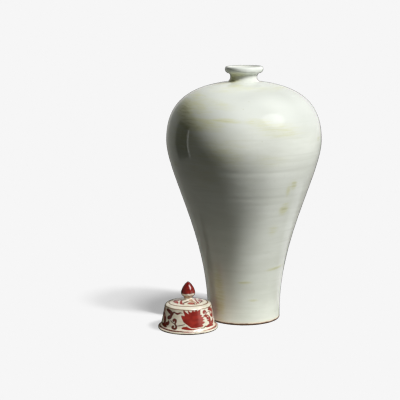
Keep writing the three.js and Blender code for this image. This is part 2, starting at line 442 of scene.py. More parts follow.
# Marks of the hand: heights and depths of the seams, the throwing rings, and how far it is out of true
vaseHand = {
    "seams": (
        (224, 0.15), (200, 0.07), (187, 0.1), (165, 0.07),
        (146, 0.1), (128, 0.07), (104, 0.13), (76, 0.08),
    ),
    "seamWidth": 2.9,
    "seamWander": 1.1,
    "ringPitch": 8.5,
    "ringDepth": 0.028,
    "ringWander": 1.5,
    "ringMiddle": 130,  # the rings are deepest here and fade within the reach
    "ringReach": 120,
    "outOfRound": 0.12,
    "paredTo": 6,  # the foot ring was pared true
    "neckLean": 0.5,
    "leanFrom": 300,
    "neckDrift": 0.45,  # how far left the neck stands between shoulder and lip
    "neckMiddle": 345,
    "driftReach": 8,
}


def nodeTop(name):
    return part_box(name)[1].z / mm


def nodeRadius(name):
    low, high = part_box(name)
    return (high.x - low.x) / 2 / mm


def vaseOutlines():
    s = vaseShape
    rootHeight = nodeTop("shoulder_section")
    top = nodeTop("neck_and_lip")
    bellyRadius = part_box("shoulder_section")[1].x / mm
    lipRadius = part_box("neck_and_lip")[1].x / mm
    foot, belly = s["footWallHeight"], s["bellyHeight"]
    rise, drop = belly - foot, rootHeight - belly
    root = s["neckRadius"] + s["neckRootSpread"]
    lower = bezier([
        (s["footRadius"], foot),
        (s["footRadius"], foot + s["lowerSlimness"] * rise),
        (bellyRadius, belly - s["bellyFullness"] * rise),
        (bellyRadius, belly),
    ], 240)
    shoulder = bezier([
        (bellyRadius, belly),
        (bellyRadius, belly + s["shoulderFullness"] * drop),
        (root + s["shoulderSpread"] * (bellyRadius - root), rootHeight - s["shoulderSlope"] * drop),
        (root, rootHeight),
    ], 200)
    underLip = top - s["lipBand"]
    neck = s["neckRadius"]
    waist = (rootHeight + underLip) / 2
    waistControl = rootHeight + (waist - rootHeight) * s["neckFullness"]
    widest = top - s["lipRoll"]
    lipControl = underLip + (widest - underLip) * s["lipFullness"]
    crest = lipRadius - s["lipCrestInset"]
    outer = [
        standingEdge(s["footRadius"], s["footBevel"]),
        [(s["footRadius"], s["footBevel"]), (s["footRadius"], foot)],
        lower,
        shoulder,
        bezier([(root, rootHeight), (neck, waistControl), (neck, waist)], 12),
        bezier([(neck, waist), (neck, underLip - s["lipUndercut"]), (crest, underLip)], 12),
        bezier([(crest, underLip), (lipRadius, lipControl), (lipRadius, widest)], 10),
        bezier([(lipRadius, widest), (lipRadius, top), (crest, top)], 10),
    ]
    # The inner wall runs square to the outer one, at a thickness that eases from the foot to the belly
    wall = np.concatenate([lower, shoulder[1:]])
    run = np.gradient(wall, axis=0)
    run /= np.hypot(run[:, 0], run[:, 1])[:, None]
    pared = np.clip(wall[:, 1] / belly, 0, 1)
    thick = s["footWall"] + (s["bodyWall"] - s["footWall"]) * pared * pared * (3 - 2 * pared)
    inside = wall + np.stack([-run[:, 1], run[:, 0]], 1) * thick[:, None]
    floor = s["recessDepth"] + s["floorThickness"]
    inside = inside[inside[:, 1] > floor + s["floorFillet"]]
    bore = neck - s["neckWall"]
    inside = inside[(inside[:, 0] > bore + s["innerNeckSpread"]) | (inside[:, 1] < belly)]
    innerFoot = s["footRadius"] - s["footWall"]
    floorEdge = (innerFoot - s["floorFillet"], floor)
    inner = [
        [(0, floor), floorEdge],
        bezier([floorEdge, (innerFoot, floor), inside[0]], 12),
        inside,
        bezier([inside[-1], (bore, inside[-1][1]), (bore, rootHeight)], 10),
        [(bore, rootHeight), (bore, waist)],
        bezier([(bore, waist), (bore, underLip), (neck, widest)], 10),
        bezier([(neck, widest), (root, top), (crest, top)], 10),
    ]
    return joined(outer, s["ringSpacing"]), joined(inner, s["ringSpacing"] * 3)


# The stretch of an outline that climbs from one height to another, cut level at both
def between(outline, low, high):
    heights = np.maximum.accumulate(outline[:, 1] + np.arange(len(outline)) * 1e-7)
    cut = [(np.interp(h, heights, outline[:, 0]), h) for h in (low, high)]
    kept = outline[(outline[:, 1] > low + 0.2) & (outline[:, 1] < high - 0.2)]
    return np.concatenate([cut[:1], kept, cut[1:]])


def vaseShift(angle, radius, height):
    h = vaseHand
    wandering = height + h["ringWander"] * np.sin(angle + 0.4)
    rings = np.sin(2 * math.pi * wandering / h["ringPitch"] + 0.9 * math.sin(height / 19))
    out = h["ringDepth"] * rings * math.exp(-((height - h["ringMiddle"]) / h["ringReach"]) ** 2)
    for place, depth in h["seams"]:
        offset = height - place - h["seamWander"] * np.sin(angle + place)
        offset = offset - 0.5 * np.sin(2 * angle + 2 * place)
        out = out - depth * np.exp(-(offset / h["seamWidth"]) ** 2)
    wide = np.cos(2 * angle + height / 160) + 0.5 * np.sin(3 * angle + height / 70)
    out = out + h["outOfRound"] * wide - 1.5 * h["outOfRound"] - h["ringDepth"]
    trued = 1 - math.exp(-(height / h["paredTo"]) ** 2)
    climb = (height - h["leanFrom"]) / (nodeTop("neck_and_lip") - h["leanFrom"])
    lean = h["neckLean"] * max(0, climb) ** 2
    lean -= h["neckDrift"] * math.exp(-((height - h["neckMiddle"]) / h["driftReach"]) ** 2)
    return out * trued, (rightward.x * lean, rightward.y * lean)


# Ash and iron stains on the glaze, with some painted shade among them: angle from the side facing the
# camera, height, half width and height
#  of each, how far it slants down to the right, and strength
stainsAndShade = (
    (-60, 304, 28, 13, -6, 0.95),
    (-47, 288, 28, 10, -4, 0.95),
    (-46, 309, 30, 9, -7, 0.5),
    (-50, 268, 40, 24, 0, 0.4),
    (-33, 289, 30, 9, -3, 0.6),
    (-20, 250, 40, 22, 0, 0.42),
    (-35, 222, 40, 26, 0, 0.25),
    (-17, 294, 22, 3, -0.5, 0.75),
    (-40, 349.5, 18, 3.5, 0, 0.7),
    # painted shade at the left of the neck's root, under the lip
    (-78, 342, 17, 5.5, 0, 1.35),
    (-26, 314, 26, 6, -4, 0.3),
    (4, 294.5, 6, 1.6, 0, 0.5),
    (-2, 333, 26, 2.6, 0, 0.26),
    (-22, 336, 14, 2, 0, 0.4),
    (-34, 331, 34, 4.5, 0, 0.24),
    (50, 332, 44, 3, 1, 0.36),
    (-60, 322, 34, 5, -3, 0.4),
    (25, 280, 36, 10, -3, 0.42),
    (10, 291, 20, 6, -2, 0.48),
    (28, 286, 16, 4, -2, 0.3),
    (16, 240, 30, 9, -1, 0.25),
    (70, 262, 8, 4, 0, 0.45),
    (43, 203, 6, 6, -1, 0.7),
    (38, 196, 4, 9, -2, 0.5),
    (39, 169, 8, 8, 1, 0.75),
    (31, 138, 8, 8, 0, 0.35),
    (-1, 62.5, 9, 1.7, 0, 0.85),
    (48, 80, 17, 2.4, 1, 0.65),
    (14, 36, 8, 1.5, -0.4, 0.6),
    # painted shade and a painted reflection of the cover, on the foot beside it
    (-42, 42, 9, 40, 0, 0.68),
    (-66, 228, 14, 4, 0, 0.5),
    (110, 305, 34, 9, 2, 0.6),
    (150, 287, 30, 7, -3, 0.7),
    (-140, 312, 36, 8, 4, 0.7),
    (-100, 265, 18, 8, 0, 0.4),
    (175, 210, 20, 6, 2, 0.4),
    (-165, 120, 20, 5, 0, 0.45),
    (120, 90, 14, 3, -1, 0.5),
    (95, 180, 7, 12, 2, 0.35),
)


def stainAndShadeAmount(piece):
    angle, radius, height = around(piece)
    amount = np.zeros(len(angle))
    for at, up, halfWidth, halfHeight, slant, strength in stainsAndShade:
        apart = (angle - math.radians(at) + math.pi) % (2 * math.pi) - math.pi
        across = apart * radius / halfWidth
        along = (height - up - slant * across) / halfHeight
        amount = np.maximum(amount, strength * np.exp(-(across ** 2 + along ** 2) ** 1.3))
    return amount


def buildVase():
    pieces = []
    outer, inner = vaseOutlines()
    s = vaseShape
    glaze = vaseMaterial()
    floor = s["recessDepth"] + s["floorThickness"]
    ringInner = s["footRadius"] - s["footBevel"] - s["footRingWidth"]
    for name in ("foot_section", "lower_body", "shoulder_section", "neck_and_lip"):
        low, high = (corner.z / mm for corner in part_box(name))
        outside = between(outer, low, high)
        inside = between(inner, max(low, floor), high)[::-1]
        if name == "foot_section":
            base = joined([
                [(0, s["recessDepth"]), (ringInner - s["recessSlope"], s["recessDepth"])],
                [(ringInner - s["recessSlope"], s["recessDepth"]), (ringInner, 0)],
                [(ringInner, 0), (s["footRadius"] - s["footBevel"], 0)],
            ], 3)
            outside = np.concatenate([base, outside[1:]])
        elif name == "neck_and_lip":
            inside = inside[1:]  # both meet on the lip's crest
        outline = np.concatenate([outside, inside])
        piece = turnedMesh("glazed_" + name, outline, s["segments"], glaze, shift=vaseShift)
        addAttribute(piece, "stainAndShade", stainAndShadeAmount(piece))
        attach(piece, "vase")
        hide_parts(name)
        pieces.append(piece)
    return pieces


vasePieces = buildVase()
print("vase built")


# The cover's painting, a lotus scroll. Places on the wall are the distance round it from the side that
# faces the camera, and the height. Each stroke is a line of places with the brush's half width.

scroll = {
    "wallRadius": 35,
    "repeats": 3,
    "reach": 52,  # how far from its middle one repeat goes
    "crownOverlap": 2.5,
    "bloomTips": (
        (-10.2, 24.7), (-7.2, 32.2), (-0.2, 32), (7.3, 32.2), (11.8, 31.6), (18.9, 32),
        (20.9, 24.6), (23.6, 20.8), (24.3, 18), (24.9, 14.4), (21.6, 9.8),
    ),
    "bloomNotches": (
        (-4.6, 24), (1.2, 26.8), (4.8, 29.2), (9.4, 30.2), (14.4, 30.6), (17.9, 25.3),
        (20, 22.4), (20.9, 19.4), (20.8, 16.4), (19.4, 12), (18.2, 8.6),
    ),
    "bloomFoot": (
        (18.2, 8.6), (9, 8), (3.4, 9.2), (-1, 12.2), (-5.2, 15.2), (-8.4, 19.6), (-10.2, 24.7),
    ),
    "bloomCentre": (7, 20),
    "petalBulge": 0.06,
}

# Strokes under and beside the bloom, the curl and leaves to its left, and the hook to its right
wallStrokes = (
    ("red", (-7.4, 7.4, 1.1), (-4.6, 7.7, 1.9), (-1, 7.7, 2.1), (2.4, 6.9, 1.4), (6, 6.5, 0.8),
     (12, 6.8, 0.5), (16.5, 7.4, 0.5)),
    ("red", (-2.8, 8.9, 0.9), (-1.4, 9.8, 0.6)),
    ("brown", (-15.4, 10.2, 0.4), (-11.8, 10.8, 0.7), (-8, 11.6, 0.6), (-4.6, 12.8, 0.4)),
    ("brown", (17, 7.2, 0.5), (21, 7, 0.6), (24.5, 8.4, 0.9), (27.8, 7.6, 0.8), (31, 6.8, 0.8)),
    ("dark", (-21.8, 16.2, 1.2), (-22, 17.4, 1.2), (-20.2, 18.5, 1.4), (-18, 17.6, 1.6),
     (-17.5, 15.4, 1.5), (-18.4, 13.4, 1.2), (-19, 12, 1), (-17.4, 10.9, 1.2), (-16.1, 8.8, 1.5),
     (-16.7, 6.7, 1.5), (-19, 6, 1.3), (-21.8, 6.4, 1.2), (-22.8, 7.6, 1)),
    ("dark", (-21.3, 16.6, 1.7), (-20.8, 16.4, 1.6)),
    ("dark", (-21.2, 8.4, 1.9), (-21, 8.6, 1.8)),
    ("brown", (-26, 16, 0.6), (-23.3, 14, 0.7), (-20.2, 12.8, 0.6), (-19, 12.3, 0.5)),
    ("dark", (-38, 29.4, 1.4), (-35, 29.4, 2.2), (-31.5, 28.3, 2.7), (-28, 26.8, 2.7),
     (-25.3, 25.2, 2.2), (-23.8, 26.6, 1.4), (-21.8, 27.7, 1), (-19.4, 27.2, 1.1), (-16.6, 26.5, 1.4),
     (-14, 27, 1.2), (-11.8, 28, 0.9), (-9.4, 27.9, 0.5), (-8, 27.4, 0.3)),
    ("dark", (-25, 25, 1.9), (-26.2, 22.8, 2), (-28.4, 20.4, 2.9), (-30.6, 19.6, 2.8),
     (-32.8, 19.4, 1.4)),
    ("dark", (-39, 17.6, 2.4), (-38.6, 15, 3), (-39.2, 12, 2.4)),
    ("dark", (-47, 7.6, 1.2), (-42, 8, 2.1), (-37.5, 8.2, 2.5), (-34.6, 7.4, 1.9), (-32.4, 6.8, 1)),
    ("dark", (-35, 11.2, 1.6), (-31.2, 11.2, 2.8), (-29.8, 13.6, 1.8), (-29.6, 15.4, 0.9)),
    ("dark", (-48.5, 22.4, 0.9), (-45.6, 21.4, 1.4), (-43, 19.6, 1)),
    ("red", (24.2, 26.2, 1.2), (23.6, 28.2, 1.1), (25.6, 29.6, 1.2), (28.2, 28.3, 1.3), (28.8, 26, 1.2),
     (27.9, 23.9, 0.8), (29.2, 22.7, 0.8), (31.8, 21.8, 0.9), (33.8, 19.4, 0.9), (33.5, 16.4, 0.9),
     (31.4, 14.7, 0.9), (29.6, 15.2, 0.6)),
    ("red", (24.8, 26.9, 1.7), (25, 27.1, 1.6)),
    ("red", (30.1, 18.3, 2), (29.8, 18.8, 1.8)),
    ("brown", (28.2, 23.4, 0.6), (25.6, 23.4, 0.65), (23, 22.4, 0.5)),
)

# The stem that bends back; one repeat goes without it
bendStrokes = (
    ("brown", (29.4, 25.4, 0.35), (33, 26.2, 0.4), (36.2, 26.4, 0.5)),
    ("red", (37.6, 26, 0.7), (38.8, 23.8, 1.2), (39, 21.4, 1.4), (38.8, 19.4, 0.9)),
)

# Strokes on the crown: to the right of its middle, beyond it, and the half width. They run round twice.
crownStrokes = (
    ("red", (-19, 3, 2.2), (-18.2, -2, 2.8), (-16.8, -6.5, 2.7), (-15.4, -10.5, 1.9),
     (-14.2, -13.6, 0.9)),
    ("red", (-8.8, 2, 1.2), (-9.2, -4, 1.5), (-9.9, -9, 1.7), (-9.9, -13, 1.9), (-8.6, -16.6, 1.7),
     (-6, -18.2, 1.1)),
    ("brown", (-6.8, -16, 1), (-4.4, -13.2, 1.5), (-1.6, -10.8, 1.5), (0.2, -7.6, 1.2), (0.8, -5, 0.9)),
    ("red", (-3, -12.2, 1.3), (-1.4, -11, 1.3)),
    ("wash", (1, -3.6, 0.9), (3.4, -7.4, 1.6), (6.4, -9.2, 2), (9, -11.2, 1.7), (10.8, -13.6, 1)),
    ("red", (0.2, -12.6, 0.8), (3.6, -12.9, 1), (7, -13.6, 0.8)),
    ("red", (0.6, -16.8, 1.6), (4, -17.2, 2.3), (7.6, -16.8, 1.8)),
    ("brown", (8, -14.5, 0.8), (9.4, -18, 0.9)),
    ("red", (10.2, 2, 1.2), (10.6, -3, 1.3), (12.2, -7.4, 1.4), (13.8, -11, 1.4), (15, -13.4, 0.9)),
    ("red", (13.4, 3, 1.3), (14.4, -1, 1.4), (16, -4.6, 1.2)),
    ("brown", (19.2, 2, 1), (18.6, -4, 1), (16.8, -9.6, 0.9)),
    ("red", (12.6, -12, 0.7), (11.8, -17, 0.8)),
)

# Lines turned on the wheel: on the crown, under the top edge and on the flange
wheelLines = {
    "crownRadius": 27.2,
    "crownOffset": 2.2,  # the ring was drawn off centre, away from the camera
    "crownHalfWidth": 0.8,
    "edgeHeight": 32.2,
    "edgeHalfWidth": 0.55,
    "flangeHeight": 3.5,
    "flangeHalfWidth": 0.75,
    "flangeSheenThinning": 0.6,  # painted sheen: how much of it is thinned away beside the bloom, where the light's sheen washes it out
    "sheenAt": 24,  # degrees from the side that faces the camera
    "sheenWidth": 26,
    "darkTo": -8,
}

# Where on the cap each kind of painting is: heights, and radii. A limit of 99 or -1 leaves that side open.
zones = {
    "wall": ((4.6, 34), (31, 99)),
    "wallTop": ((28, 34), (31, 99)),
    "crown": ((33, 99), (-1, 24)),
    "crownEdge": ((33, 99), (23, 99)),
    "flange": ((-1, 9), (36, 99)),
}


# A smooth line through given places, a few steps between each two
def smoothLine(places, steps=5):
    places = np.array(places, float)
    padded = np.concatenate([2 * places[:1] - places[1:2], places, 2 * places[-1:] - places[-2:-1]])
    share = np.linspace(0, 1, steps, endpoint=False)[:, None]
    rows = []
    for a, b, c, d in zip(padded, padded[1:], padded[2:], padded[3:]):
        curve = 2 * b + (c - a) * share + (2 * a - 5 * b + 4 * c - d) * share ** 2
        rows.append(0.5 * (curve + (3 * b - a - 3 * c + d) * share ** 3))
    return np.concatenate(rows + [places[-1:]])


farOff = 9.0  # further than any paint reaches


# How far each point is from a straight line between two places, and how far along it
def lineDistance(x, y, start, end):
    ax, ay = start[:2]
    run = end[:2] - start[:2]
    share = np.clip(((x - ax) * run[0] + (y - ay) * run[1]) / max(run @ run, 1e-6), 0, 1)
    return np.hypot(x - ax - share * run[0], y - ay - share * run[1]), share


# How far each point is outside a brush stroke; below nought is painted
def strokeDistance(x, y, stroke):
    line = smoothLine(stroke) if len(stroke) > 2 else np.array(stroke, float)
    nearest = np.full(len(x), farOff)
    for start, end in zip(line, line[1:]):
        apart, share = lineDistance(x, y, start, end)
        nearest = np.minimum(nearest, apart - start[2] - share * (end[2] - start[2]))
    return nearest


# How far each point is outside a closed outline
def outlineDistance(x, y, outline):
    nearest = np.full(len(x), farOff)
    inside = np.zeros(len(x), bool)
    for start, end in zip(outline, np.roll(outline, -1, axis=0)):
        nearest = np.minimum(nearest, lineDistance(x, y, start, end)[0])
        (ax, ay), (bx, by) = start, end
        if ay != by:
            inside ^= ((y > ay) != (y > by)) & (x < (bx - ax) * (y - ay) / (by - ay) + ax)
    return np.where(inside, -nearest, nearest)


# The bloom's outline: each petal bulges on its way to a pointed tip
def bloomOutline():
    tips, notches, foot = (np.array(scroll["bloom" + part], float) for part in ("Tips", "Notches", "Foot"))
    rows = [tips[:1]]
    for tip, notch, following in zip(tips, notches, np.roll(tips, -1, axis=0)):
        bulge = (notch - scroll["bloomCentre"]) * scroll["petalBulge"]
        rows.append(bezier([tip, (tip + notch) / 2 + bulge, notch], 4)[1:])
        if not np.array_equal(notch, foot[0]):
            rows.append(bezier([notch, (following + notch) / 2 + bulge, following], 4)[1:])
    rows.append(smoothLine(foot)[1:-1])
    return np.concatenate(rows)


tones = {"red": 1.0, "dark": 0.35, "brown": -0.25, "line": -0.5, "wash": -1.0}
unpainted = 3.0  # the distance that vertices without paint carry


# Paints vertices: keeps the signed distance to the nearest painted edge, and that paint's tone
class Painting:
    def __init__(self, count):
        self.distance = np.full(count, unpainted)
        self.tone = np.ones(count)

    def add(self, where, distance, tone):
        nearer = distance < self.distance[where]
        spots = np.flatnonzero(where)[nearer]
        self.distance[spots] = distance[nearer]
        self.tone[spots] = tones[tone]

    def strokes(self, where, x, y, strokes, darkTone="dark"):
        x, y = x[where], y[where]
        for tone, *stroke in strokes:
            self.add(where, strokeDistance(x, y, stroke), darkTone if tone == "dark" else tone)


def paintCap(piece, centre):
    angle, radius, height = around(piece, centre)
    painting = Painting(len(angle))

    def within(zone):
        (low, high), (inner, outer) = zones[zone]
        return (height > low) & (height < high) & (radius > inner) & (radius < outer)

    # The brush never repeats itself: places drift by up to half a millimetre round the cover
    along = angle * scroll["wallRadius"] + 0.25 * np.sin(5 * angle + 1.3) + 0.2 * np.sin(0.9 * height)
    up = height + 0.3 * np.sin(4 * angle) + 0.15 * np.sin(11 * angle)
    period = 2 * math.pi * scroll["wallRadius"] / scroll["repeats"]
    bloom = bloomOutline()
    for step in (-2, -1, 0, 1, 2):
        away = along - step * period
        near = within("wall") & (np.abs(away) < scroll["reach"])
        painting.add(near, outlineDistance(away[near], up[near], bloom), "red")
        # Left of the bloom on the side facing the camera the strokes are painted dark red, in part painted
        # shade of the cover's unlit left side; the repeats are plain red
        painting.strokes(near, away, up, wallStrokes, "red" if step else "dark")
        if step != -1:
            painting.strokes(near, away, up, bendStrokes)
    for flip in (0, math.pi):
        right = radius * np.sin(angle + flip)
        beyond = -radius * np.cos(angle + flip)
        painting.strokes(within("crown") & (beyond < scroll["crownOverlap"]), right, beyond, crownStrokes)

    w = wheelLines
    wave = 0.12 * np.sin(3 * angle + 1) + 0.08 * np.sin(7 * angle)
    ring = np.hypot(radius * np.sin(angle), radius * np.cos(angle) + w["crownOffset"])
    crownLine = np.abs(ring - w["crownRadius"] + wave) - w["crownHalfWidth"]
    edgeLine = np.abs(height - w["edgeHeight"] + wave) - w["edgeHalfWidth"]
    sheenSpot = np.exp(-((angle - math.radians(w["sheenAt"])) / math.radians(w["sheenWidth"])) ** 2)
    # Painted sheen: the flange line is thinned where the light's sheen lies on it
    flangeLine = np.abs(height - w["flangeHeight"] + wave) - w["flangeHalfWidth"] + w["flangeSheenThinning"] * sheenSpot
    # Left of darkTo the flange line is painted dark, in part painted shade of the cover's unlit left side
    dark = angle < math.radians(w["darkTo"])
    for part, line, tone in (
        (within("crownEdge"), crownLine, "line"),
        (within("wallTop"), edgeLine, "line"),
        (within("flange") & dark, flangeLine, "dark"),
        (within("flange") & ~dark, flangeLine, "red"),
    ):
        painting.add(part, line[part], tone)
    addAttribute(piece, "paint", painting.distance)
    addAttribute(piece, "tone", painting.tone)


# The cover: cap, bud knob and locating tube

coverShape = {
    "capWall": 4,
    "ceilingThickness": 4.5,
    "skirtFlare": 4.4,
    "flangeProjection": 4.8,
    "flangeHeight": 8,
    "rimThickness": 2.2,
    "rimBevel": 0.7,
    "topEdgeRadius": 3.8,
    "crownRise": 5.7,
    "ceilingRise": 3.6,
    "ceilingFillet": 4,
    "knobSeatRadius": 8.8,
    "knobStemRadius": 5.4,
    "knobStemRise": 3,
    "knobBudRise": 9.7,
    "knobTipRadius": 1.7,
    "crownFullness": 0.28,
    "stemFullness": 0.3,
    "budUnderFullness": (0.4, 0.5),
    "budOverFullness": 0.38,
    "budTaper": (0.32, 0.14),
    "tubeClearance": 1.5,
    "tubeWall": 3,
    "tubeRounding": 0.6,
    "spacing": 0.42,
    "capSegments": 600,
    "knobSegments": 160,
    "tubeSegments": 96,
    "rimWarp": 0.9,  # how much the rim was drawn in by the firing
    "warpSide": 50,  # it was drawn in least this many degrees left of the photographed side
    "warpHeight": 14,
    "unevenness": 0.02,
    "redFrom": 10.1,  # rise of the knob's red above its seat
    "grooveRise": 5.2,
    "grooveHalfWidth": 1.8,
    "washAt": (0.55, 0.3),  # the wash on the knob's foot: round the knob, and above its seat
    "washStretch": (7.5, 1.6),
    "washReach": 3.4,
}


def coverShift(angle, radius, height):
    s = coverShape
    towards = angle - frontAngle + math.radians(s["warpSide"])
    low = max(0.0, 1 - height / s["warpHeight"]) ** 1.5
    drawn = -s["rimWarp"] * 0.5 * (1 - np.cos(towards)) * low
    return drawn - s["unevenness"] * (1 + np.sin(2 * angle + height / 6)), (0, 0)


def capOutline(rimRadius, ceiling, crown, tubeRadius):
    s = coverShape
    skirt = rimRadius - s["flangeProjection"]
    topRadius = skirt - s["skirtFlare"]
    capHeight = ceiling + s["ceilingThickness"]
    edge = (topRadius - s["topEdgeRadius"], capHeight + s["crownRise"] * 0.2)
    seat = (s["knobSeatRadius"], crown)
    crownControl = ((edge[0] + seat[0]) / 2, crown - s["crownRise"] * s["crownFullness"])
    slope = (crownControl[1] - edge[1]) / (edge[0] - crownControl[0])
    wallTop = (topRadius, capHeight - s["topEdgeRadius"])
    flange = (rimRadius, s["rimThickness"])
    wallFoot = (skirt, s["flangeHeight"])
    underside = ceiling + s["ceilingRise"]
    innerTop = (topRadius - s["capWall"], ceiling - s["ceilingFillet"])
    ceilingEdge = (innerTop[0] - s["ceilingFillet"], ceiling)
    rimInner = skirt - s["capWall"]
    bevel = s["rimBevel"]
    flangeControl = (skirt + s["flangeProjection"] * 0.25, s["flangeHeight"] * 0.5)
    tubeEdge = (tubeRadius + s["tubeClearance"], underside)
    inside = joined([
        [(0, underside), tubeEdge],
        [tubeEdge, ceilingEdge],
        bezier([ceilingEdge, (innerTop[0], ceiling), innerTop], 8),
        [innerTop, (rimInner, 0)],
        [(rimInner, 0), (rimRadius - bevel, 0)],
    ], 2.5)
    outside = joined([
        standingEdge(rimRadius, bevel),
        [(rimRadius, bevel), flange],
        bezier([flange, flangeControl, wallFoot], 24),
        [wallFoot, wallTop],
        bezier([wallTop, (topRadius, edge[1] - slope * s["topEdgeRadius"]), edge], 16),
        bezier([edge, crownControl, seat], 40),
    ], s["spacing"])
    return np.concatenate([inside, outside[1:], [(0, crown)]])


def knobOutline(seat, top, budRadius):
    s = coverShape
    stem = (s["knobStemRadius"], seat + s["knobStemRise"])
    bud = (budRadius, seat + s["knobBudRise"])
    tip = (s["knobTipRadius"], top - s["knobTipRadius"] * 0.6)
    under = s["knobBudRise"] - s["knobStemRise"]
    over = tip[1] - bud[1]
    stemControl = (stem[0], seat + s["knobStemRise"] * s["stemFullness"])
    low, high = s["budUnderFullness"]
    aside, down = s["budTaper"]
    shoulder = (bud[0], bud[1] + over * s["budOverFullness"])
    taper = (tip[0] + bud[0] * aside, tip[1] - over * down)
    return joined([
        [(0, seat), (s["knobSeatRadius"], seat)],
        bezier([(s["knobSeatRadius"], seat), stemControl, stem], 10),
        bezier([stem, (stem[0], stem[1] + under * low), (bud[0], bud[1] - under * high), bud], 24),
        bezier([bud, shoulder, taper, tip], 40),
        bezier([tip, (tip[0] * 0.7, top), (0, top)], 6),
    ], s["spacing"])


# The knob is red above, with a thin brown wash in the groove under the bud and on part of its foot
def paintKnob(piece, centre, seat):
    s = coverShape
    angle, radius, height = around(piece, centre)
    red = seat + s["redFrom"] - height + 0.25 * np.sin(3 * angle)
    groove = np.abs(height - seat - s["grooveRise"]) - s["grooveHalfWidth"]
    (at, rise), (across, up) = s["washAt"], s["washStretch"]
    footWash = np.hypot((angle - at) * across, (height - seat - rise) * up) - s["washReach"]
    addAttribute(piece, "paint", np.minimum(red, np.maximum(np.minimum(groove, footWash), -0.08)))
    addAttribute(piece, "tone", np.where(red < 0.4, 1.0, -1.0))


def buildCover():
    s = coverShape
    g = coverGlaze
    low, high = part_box("cover_cap")
    centre = ((low.x + high.x) / 2 / mm, (low.y + high.y) / 2 / mm)
    crown = nodeTop("cover_cap")
    tubeRadius, tubeTop = nodeRadius("cover_locating_tube"), nodeTop("cover_locating_tube")
    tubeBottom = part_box("cover_locating_tube")[0].z / mm

    outline = capOutline(nodeRadius("cover_cap"), tubeTop - s["ceilingRise"], crown, tubeRadius)
    glaze = coverMaterial("ironRedPaintedPorcelain", g["red"], g["deepRed"], g["roughness"])
    cap = turnedMesh("painted_cap", outline, s["capSegments"], glaze, centre, coverShift)
    paintCap(cap, centre)

    outline = knobOutline(crown, nodeTop("cover_knob"), nodeRadius("cover_knob"))
    glaze = coverMaterial("ironRedKnobGlaze", g["knobRed"], g["knobDeepRed"], g["knobRoughness"])
    knob = turnedMesh("bud_knob", outline, s["knobSegments"], glaze, centre)
    paintKnob(knob, centre, crown)

    inner = tubeRadius - s["tubeWall"]
    middle = inner + s["tubeWall"] / 2
    low, tip = tubeBottom + s["tubeRounding"], tubeBottom - s["tubeRounding"]
    outline = joined([
        [(tubeRadius, low), (tubeRadius, tubeTop)],
        [(tubeRadius, tubeTop), (inner, tubeTop)],
        [(inner, tubeTop), (inner, low)],
        bezier([(inner, low), (middle, tip), (tubeRadius, low)], 8),
    ], 1.5)[:-1]
    glaze = coverMaterial("bareInnerPorcelain", g["red"], g["deepRed"], g["tubeRoughness"])
    tube = turnedMesh("locating_tube", outline, s["tubeSegments"], glaze, centre)
    addAttribute(tube, "paint", np.full(len(tube.data.vertices), unpainted))
    addAttribute(tube, "tone", np.ones(len(tube.data.vertices)))

    for piece, node, slot in (
        (cap, "cover_cap", "cover_glaze"),
        (knob, "cover_knob", "knob_glaze"),
        (tube, "cover_locating_tube", "cover_glaze"),
    ):
        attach(piece, "cover")
        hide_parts(node)
    return [cap, knob, tube]


coverPieces = buildCover()
print("cover built")


# Studio. White backdrop; the vase stands on a small white table, so only the floor near the foot throws
# light back at it. Shading, highlights and the floor's shadows each have lamps of their own, so that each
# can be set alone.

studio = {
    "white": "#F6F6F6",  # the backdrop, as the camera sees it
    "table": "#CACAC4",
    "dark": "#303030",
    "tableRadius": 100,
    "tableFade": 90,
    "floorSize": 120000,
    "ambient": (0.077, 0.080, 0.067),
    "glossFront": (0.26, 0.26, 0.24),
    "glossBehind": (1.0, 1.01, 0.97),
    "glossAbove": (0.06, 0.06, 0.06),
    "glossBelow": (0.30, 0.30, 0.27),
    "brightSide": 48,  # degrees to the right of straight behind
    "behindSpan": (0.2, 0.95),  # where each part of the room sets in
    "aboveSpan": (0.45, 0.9),
    "belowSpan": (-0.15, -0.02),
}

# Cards that only reflections see: both ends, to the right of the vase and beyond it, foot, top and glow.
# The flat one lies on the floor, between two corners.
cards = {
    "dark_card": {"ends": ((-774, 381), (-862, -39)), "heights": (-65, 500), "glow": 0.0},
    "pale_strip": {"ends": ((-851, -20), (-849, -60)), "heights": (-90, 420), "glow": 1.3},
    "cover_card": {"ends": ((-250, 20), (-105, 20)), "heights": (-70, 50), "glow": 0.0},
    "floor_card": {"flat": ((45, 45), (420, 230)), "glow": 0.85},
}

# The lamps, by what they light: angle to the right of the camera's line and rise in degrees, width and
# height, and level, which is how bright a white card facing it looks. All stand lampDistance away and point
# at the vase's middle. Only reflections see those with gloss.
lamps = {
    "vase": {
        "key": {"at": (55, 42), "size": (490, 340), "level": 1.59},
        "key_reflection": {"at": (50.5, 40), "size": (920, 880), "level": 0.17, "gloss": True},
        "rim_behind": {"at": (-145, 22), "size": (500, 500), "level": 0.22},
    },
    "cover": {
        "cover_key": {"at": (50, 45), "size": (490, 340), "level": 1.2},
        "cover_fill": {"at": (-45, 35), "size": (900, 900), "level": 0.20, "colour": (1, 0.92, 0.8)},
        "cover_reflection": {"at": (55, 46), "size": (1100, 1400), "level": 2.1, "gloss": True},
        "cover_sheen": {
            "at": (62, 4), "size": (1300, 460), "level": 0.13, "gloss": True, "colour": (1, 0.9, 0.78),
        },
    },
    "floor": {
        "vase_shadow": {"at": (56.8, 26.6), "size": (242, 235), "level": 0.63, "blockers": "foot"},
        "foot_shadow": {"at": (51, 40.4), "size": (60, 598), "level": 0.81, "blockers": "foot"},
        "cover_shadow": {"at": (62, 52), "size": (520, 420), "level": 0.65, "blockers": "cover"},
        "floor_fill": {"at": (0, 80), "size": (900, 900), "level": 0.05, "blockers": "foot"},
    },
}

